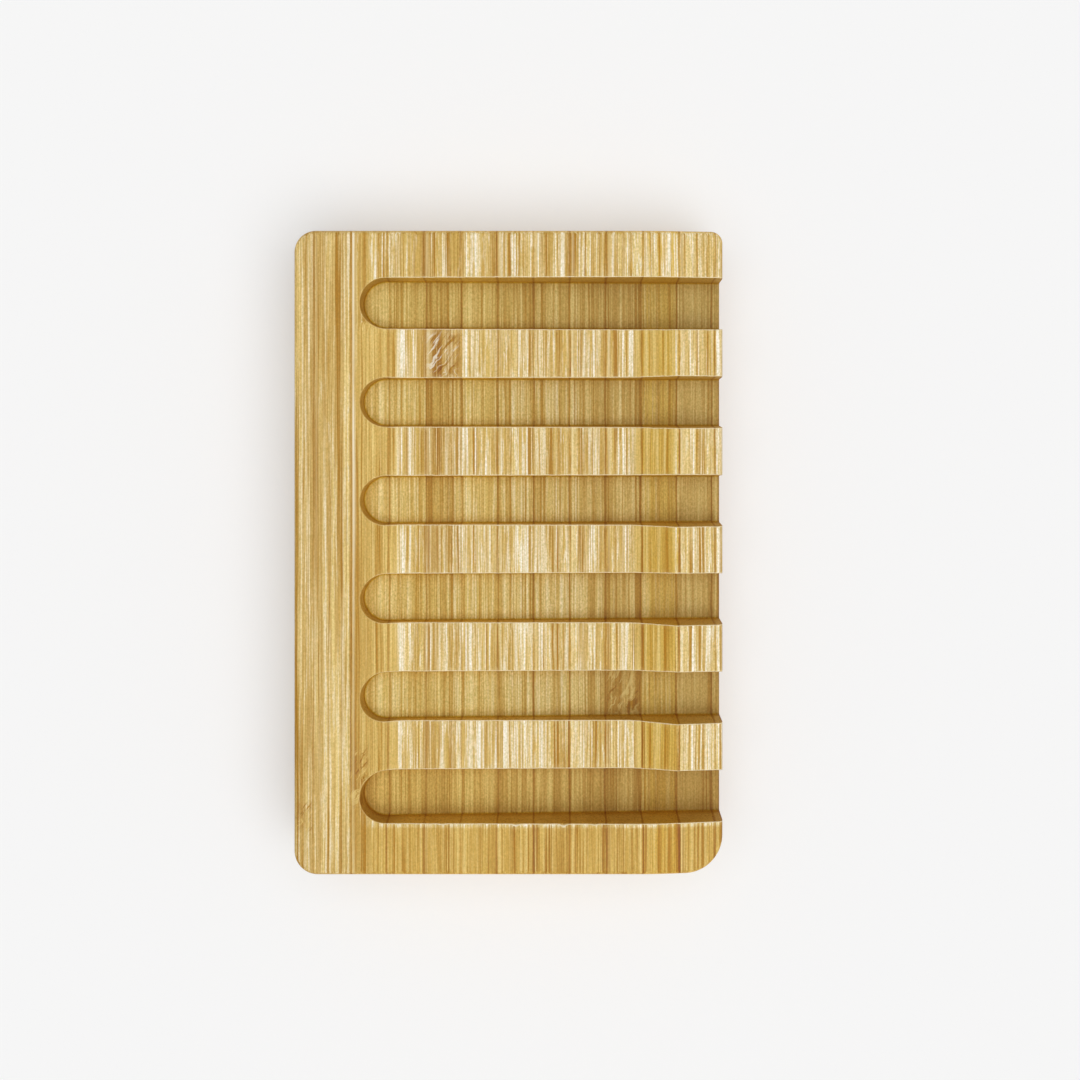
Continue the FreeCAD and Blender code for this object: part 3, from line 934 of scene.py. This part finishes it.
def make_bamboo(streaks, glue, knuckle):
    """Laminated bamboo on one strip. The grain runs from dark fibres to light pith, made pale on level faces
    by sanding and by a painted sheen of the overhead light. Over it come sanding specks, cut fibre ends,
    stain and knuckle, the brown of milled floors with painted shade towards the lip, in the front groove and
    along the walls' feet, the painted shade of the front band, the brown of sawn faces, lifted on the groove
    walls as painted light and darker on the round ends' walls as painted shade, the glue line with a pale
    line beside it, and the pale edges, sanding wear with a painted highlight."""
    tree, w, given, leave = new_group(
        "bamboo",
        {
            "Place": "vector", "Seed": "float", "Start": "float", "End": "float", "Outer": "float",
            "Body": "color", "Light": "color", "Pale": "color", "White": "color", "Fibre": "color",
            "Paleness": "float", "Glue": "float", "Pale Line": "float", "Knuckle": "vector",
            "Knuckle Size": "vector", "Knuckle Slant": "float", "Fleck": "color", "Stain": "vector",
            "Stain Size": "vector",
        },
        {"Color": "color", "Roughness": "float", "Height": "float"},
    )

    def whiten(color, mask):
        """First towards pale, then towards white, so that a thin line stays warm at its sides."""
        return w.mix(w.times(mask, mask), w.mix(mask, color, given["Pale"]), given["White"])

    milled, edge, rubbed_and_sheen, cut = w.mask("milled"), w.mask("edge"), w.mask("rubbed_and_sheen"), w.mask("cut")
    place = w.parts(given["Place"])
    x, y, z = place
    seed = given["Seed"]
    drift = w.noise(w.vector(seed, w.times(y, 0.022), w.times(z, 0.03)))
    across = w.math("SUBTRACT", x, given["Start"])
    share = w.math("DIVIDE", across, w.math("SUBTRACT", given["End"], given["Start"]))
    outer = w.math("ABSOLUTE", w.math("SUBTRACT", w.math("SUBTRACT", 1.0, given["Outer"]), share))

    fibres = lay_fibres(w, streaks, w.vector(w.math("MULTIPLY_ADD", drift, 0.6, x), y, z), seed)
    speck = sanding_specks(w, place)
    rub_and_sheen = w.math("MULTIPLY", rubbed_and_sheen, given["Paleness"], clamp=True)
    sawn = w.math("MULTIPLY", cut, SAWN_FULL, clamp=True)
    covered = w.highest(milled, sawn)
    value = grain_value(w, given, fibres, rubbed_and_sheen, outer, y)
    dark = dark_fibres(w, fibres, value, sawn, milled)
    light = light_pith(w, value, rub_and_sheen, sawn)
    # Silver fibres show where level faces are painted pale, so they carry part of the painted sheen.
    show = w.math("MULTIPLY_ADD", w.math("SUBTRACT", 1.0, milled), PLAIN_SHINE, rub_and_sheen, clamp=True)
    show = w.math("SUBTRACT", show, w.highest(dark, sawn), clamp=True)
    shine = w.times(silver_fibres(w, fibres, value, place, seed), show)

    # The pith turns pale on level faces: sanding wear and a painted sheen of the overhead light.
    color = w.mix(light, given["Body"], w.mix(rub_and_sheen, given["Light"], given["Pale"]))
    color = w.stain(color, dark, given["Fibre"])
    color = speckled(w, whiten(color, shine), speck, light, rub_and_sheen, milled)
    color = w.stain(color, w.times(fibre_ends(w, place, seed, outer), sawn), given["Fibre"])
    color = growth_marks(w, given, knuckle, color)
    # Floors: milled brown, with painted shade towards the lip and in the front groove.
    color = w.stain(color, milled, floor_tint(w, x, y))
    # Painted shade along the feet of the groove walls.
    color = w.stain(color, w.mask("foot"), FOOT_SHADE_TINT)
    # Painted shade on the front band.
    color = w.stain(color, front_shade_band(w, x, y, covered), FRONT_SHADE_GOLD)
    # Sawn faces turn brown, lifted on the groove walls as painted light and darker on the rim side as
    # painted shade on the round ends' walls.
    color = w.stain(color, cut, w.mix(w.ease(x, *RIM_SIDE_SAWN_ZONE), RIM_SIDE_SAWN_SHADE, SAWN_BROWN_AND_FILL))
    color = whiten(color, pale_line(w, given, fibres, across, drift, y, covered))
    line = w.group(
        glue, Place=given["Place"], Start=given["Start"], End=given["End"], Reach=GLUE_REACH, Seed=seed
    )
    color = w.stain(color, w.times(line["Mask"], given["Glue"]), given["Fibre"])
    # Pale edges: sanding wear and a painted highlight where the shoulder catches the light.
    color = whiten(color, w.times(edge, w.ease(speck, *EDGE_SPECKS)))

    rough = w.math("MULTIPLY_ADD", milled, ROUGH_FLOOR, ROUGH_BASE)
    rough = w.math("ADD", rough, w.times(dark, ROUGH_FIBRE))
    w.feed(leave.inputs["Color"], color)
    w.feed(leave.inputs["Roughness"], rough)
    w.feed(leave.inputs["Height"], w.math("SUBTRACT", w.times(light, PITH_RELIEF), dark))
    return tree


# Tones of the wood. FIBRE is a tint, the others are colours.
HONEY = (0.600, 0.402, 0.114, 1.0)
GOLD = (0.675, 0.440, 0.075, 1.0)
TAN = (0.600, 0.390, 0.088, 1.0)
CREAM = (0.635, 0.425, 0.104, 1.0)
LIGHT = (0.775, 0.570, 0.185, 1.0)
PALE = (0.785, 0.605, 0.255, 1.0)
WHITE = (0.925, 0.858, 0.690, 1.0)
FIBRE = (0.620, 0.430, 0.060, 1.0)

# Stains as middle and half size in millimetres, and knuckles with their slant and fleck tone as well.
NO_STAIN = ((0.0, 200.0, 0.0), (1.0, 1.0, 1.0))
GROOVE_END_STAIN = ((-25.8, -45.6, 12.6), (3.7, 5.6, 2.6))
SEAT_STAIN = ((-12.6, 20.0, 13.0), (4.6, 28.0, 9.0))
NO_KNUCKLE = (*NO_STAIN, 0.0, LIGHT)
RIM_KNUCKLE = ((-38.2, -49.0, 17.0), (1.7, 2.6, 9.0), -0.9, LIGHT)
GROOVE_END_KNUCKLE = ((-28.4, -42.0, 17.5), (2.4, 6.0, 2.0), -0.7, LIGHT)
SEAT_KNUCKLE = ((-12.6, 37.0, 14.0), (3.2, 4.6, 5.0), -0.8, WHITE)
FLOOR_KNUCKLE = ((21.5, -27.0, 11.5), (3.3, 5.0, 3.0), -0.45, LIGHT)

# Each strip: finish slot, body tone, seed, outer side of the cane (0 rim, 1 lip), paleness of its level
# faces (sanding and painted sheen), glue line, pale line beside the glue, knuckle and stain.
STRIPS = {
    "rim_edge_strip": ("bamboo_honey", HONEY, 1.3, 1.0, 1.0, 0.6, 0.0, RIM_KNUCKLE, NO_STAIN),
    "rim_strip": ("bamboo_honey", HONEY, 4.9, 0.0, 1.0, 0.7, 0.3, NO_KNUCKLE, NO_STAIN),
    "groove_end_strip": (
        "bamboo_pale", CREAM, 9.2, 0.0, 0.75, 0.8, 1.0, GROOVE_END_KNUCKLE, GROOVE_END_STAIN
    ),
    "seat_strip_1": ("bamboo_pale", CREAM, 13.7, 1.0, 1.0, 0.6, 0.0, NO_KNUCKLE, NO_STAIN),
    "seat_strip_2": ("bamboo_tan", TAN, 17.4, 0.0, 0.9, 0.6, 0.3, SEAT_KNUCKLE, SEAT_STAIN),
    "seat_strip_3": ("bamboo_pale", CREAM, 21.8, 1.0, 1.0, 0.7, 0.2, NO_KNUCKLE, NO_STAIN),
    "seat_strip_4": ("bamboo_tan", TAN, 26.1, 0.0, 1.1, 0.8, 0.4, NO_KNUCKLE, NO_STAIN),
    "seat_strip_5": ("bamboo_tan", TAN, 30.6, 1.0, 1.1, 0.8, 0.3, NO_KNUCKLE, NO_STAIN),
    "seat_strip_6": ("bamboo_pale", TAN, 35.2, 1.0, 1.0, 0.9, 0.4, NO_KNUCKLE, NO_STAIN),
    "seat_strip_7": ("bamboo_tan", TAN, 39.9, 0.0, 1.2, 0.9, 0.4, FLOOR_KNUCKLE, NO_STAIN),
    "crest_strip": ("bamboo_honey", GOLD, 44.5, 1.0, 1.2, 0.9, 0.2, NO_KNUCKLE, NO_STAIN),
    "lip_strip": ("bamboo_pale", CREAM, 48.3, 1.0, 1.45, 0.9, 0.6, NO_KNUCKLE, NO_STAIN),
    "lip_edge_strip": ("bamboo_pale", CREAM, 52.6, 1.0, 1.35, 0.7, 0.0, NO_KNUCKLE, NO_STAIN),
}


def bamboo_material(node, bamboo, start, end):
    """The finish of one strip between its two glue planes: the shared bamboo with the strip's own values."""
    material = bpy.data.materials.new(f"{node}_bamboo")
    material.use_nodes = True
    tree = material.node_tree
    tree.nodes.clear()
    w = Wiring(tree)
    place = w.node("ShaderNodeVectorMath", {"operation": "SCALE"}, Scale=1.0 / MM)
    w.feed(place.inputs[0], w.node("ShaderNodeTexCoord").outputs["Object"])
    _, body, seed, outer, paleness, glue, beside, knuckle, stain = STRIPS[node]
    middle, size, slant, fleck = knuckle
    wood = w.group(
        bamboo, Place=place.outputs[0], Seed=seed, Start=start, End=end, Outer=outer, Body=body, Light=LIGHT,
        Pale=PALE, White=WHITE, Fibre=FIBRE, Paleness=paleness, Glue=glue, Pale_Line=beside, Knuckle=middle,
        Knuckle_Size=size, Knuckle_Slant=slant, Fleck=fleck, Stain=stain[0], Stain_Size=stain[1],
    )
    bump = w.node("ShaderNodeBump", Strength=BUMP_STRENGTH, Distance=BUMP_DEPTH, Height=wood["Height"])
    shader = w.node("ShaderNodeBsdfPrincipled", Base_Color=wood["Color"], Roughness=wood["Roughness"])
    w.feed(shader.inputs["Normal"], bump.outputs[0])
    shader.inputs["Specular IOR Level"].default_value = SPECULAR_LEVEL
    leave = w.node("ShaderNodeOutputMaterial")
    w.feed(leave.inputs["Surface"], shader.outputs[0])
    return material


def strip_plan(node, start, end):
    """Plan of a strip: with the round ends, plain beside them, or crossed by the grooves."""
    if node == "groove_end_strip":
        return round_end_plan(start, end)
    if end < GROOVE_END:
        return plain_plan(start, end)
    return grooved_plan(start, end)


def make_dish():
    """All thirteen strips, each in the place of its node."""
    streaks = make_fibre_streaks()
    bamboo = make_bamboo(streaks, make_glue_line(), make_knuckle(streaks))
    for node, strip in STRIPS.items():
        low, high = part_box(node)
        start, end = round(low.x / MM, 3), round(high.x / MM, 3)
        piece = make_strip(f"{node}_wood", strip_plan(node, start, end))
        piece.data.materials.append(bamboo_material(node, bamboo, start, end))
        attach(piece, "root")
        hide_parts(node)


# The floor and the room, in metres and plain levels of white.
FLOOR_HALF = 2.5
FLOOR_HEIGHT = -0.00005
FLOOR_WHITE = 0.92
FLOOR_GLOW = 0.22
WORLD_LEVEL = 0.36

# The lamps: direction to the lamp, strength and width in degrees.
KEY_LIGHT = ((0.42, -0.36, 1.0), 0.85, 50.0)
OVERHEAD_LIGHT = ((0.06, -0.02, 1.0), 1.28, 80.0)


def backdrop_rays(w):
    """1 for the rays that show the white backdrop: from the camera, off a gloss or through glass."""
    rays = w.node("ShaderNodeLightPath").outputs
    return w.highest(w.highest(rays["Is Camera Ray"], rays["Is Glossy Ray"]), rays["Is Transmission Ray"])


def make_floor():
    """Plain pale floor that keeps the shadow; as a backdrop, part of its white is its own light."""
    sides = ((-1, -1), (1, -1), (1, 1), (-1, 1))
    corners = [(x * FLOOR_HALF, y * FLOOR_HALF, FLOOR_HEIGHT) for x, y in sides]
    mesh = bpy.data.meshes.new("floor")
    mesh.from_pydata(corners, [], [(0, 1, 2, 3)])
    floor = bpy.data.objects.new("floor", mesh)
    bpy.context.scene.collection.objects.link(floor)
    material = bpy.data.materials.new("floor_white")
    material.use_nodes = True
    tree = material.node_tree
    tree.nodes.clear()
    w = Wiring(tree)
    white = (FLOOR_WHITE, FLOOR_WHITE, FLOOR_WHITE, 1.0)
    paint = w.node("ShaderNodeBsdfDiffuse", Color=white)
    glow = w.node("ShaderNodeEmission", Color=white, Strength=1.0)
    both = w.node("ShaderNodeMixShader")
    w.feed(both.inputs[0], w.times(backdrop_rays(w), FLOOR_GLOW))
    w.feed(both.inputs[1], paint.outputs[0])
    w.feed(both.inputs[2], glow.outputs[0])
    leave = w.node("ShaderNodeOutputMaterial")
    w.feed(leave.inputs["Surface"], both.outputs[0])
    mesh.materials.append(material)


def make_sun(name, toward, strength, spread):
    """A soft far lamp: toward is the direction to it, spread its width in degrees."""
    lamp = bpy.data.lights.new(name, "SUN")
    lamp.energy = strength
    lamp.angle = math.radians(spread)
    holder = bpy.data.objects.new(name, lamp)
    x, y, z = toward
    holder.rotation_euler = (math.atan2(math.hypot(x, y), z), 0.0, math.atan2(y, x) + 0.5 * math.pi)
    bpy.context.scene.collection.objects.link(holder)


def make_light():
    """Soft studio light: a key from the front right, a broad soft box overhead and an even white room."""
    make_sun("key_light", *KEY_LIGHT)
    make_sun("overhead_light", *OVERHEAD_LIGHT)
    world = bpy.data.worlds.new("white_room")
    world.use_nodes = True
    room = world.node_tree.nodes["Background"]
    room.inputs["Color"].default_value = (1.0, 1.0, 1.0, 1.0)
    w = Wiring(world.node_tree)
    level = w.math("MULTIPLY_ADD", backdrop_rays(w), FLOOR_WHITE - WORLD_LEVEL, WORLD_LEVEL)
    w.feed(room.inputs["Strength"], level)
    bpy.context.scene.world = world


# The camera: place in millimetres, lens and sensor, shift of the frame, and clipping in metres.
CAMERA_FOOT = (9.7, 24.0)
CAMERA_HEIGHT = 268.0
CAMERA_LENS = 44.82
CAMERA_SENSOR = 36.0
CAMERA_SHIFT = (-0.0194, -0.1076)
CAMERA_CLIP = (0.01, 20.0)


def make_camera():
    """Camera straight above, with the frame moved off its axis as in the photograph."""
    lens = bpy.data.cameras.new("camera")
    lens.sensor_width = CAMERA_SENSOR
    lens.lens = CAMERA_LENS
    lens.shift_x, lens.shift_y = CAMERA_SHIFT
    lens.clip_start, lens.clip_end = CAMERA_CLIP
    camera = bpy.data.objects.new("camera", lens)
    camera.location = (CAMERA_FOOT[0] * MM, CAMERA_FOOT[1] * MM, CAMERA_HEIGHT * MM)
    bpy.context.scene.collection.objects.link(camera)
    bpy.context.scene.camera = camera


make_dish()
make_floor()
make_light()
make_camera()
bpy.context.scene.view_settings.view_transform = "Standard"

bpy.context.view_layer.update()
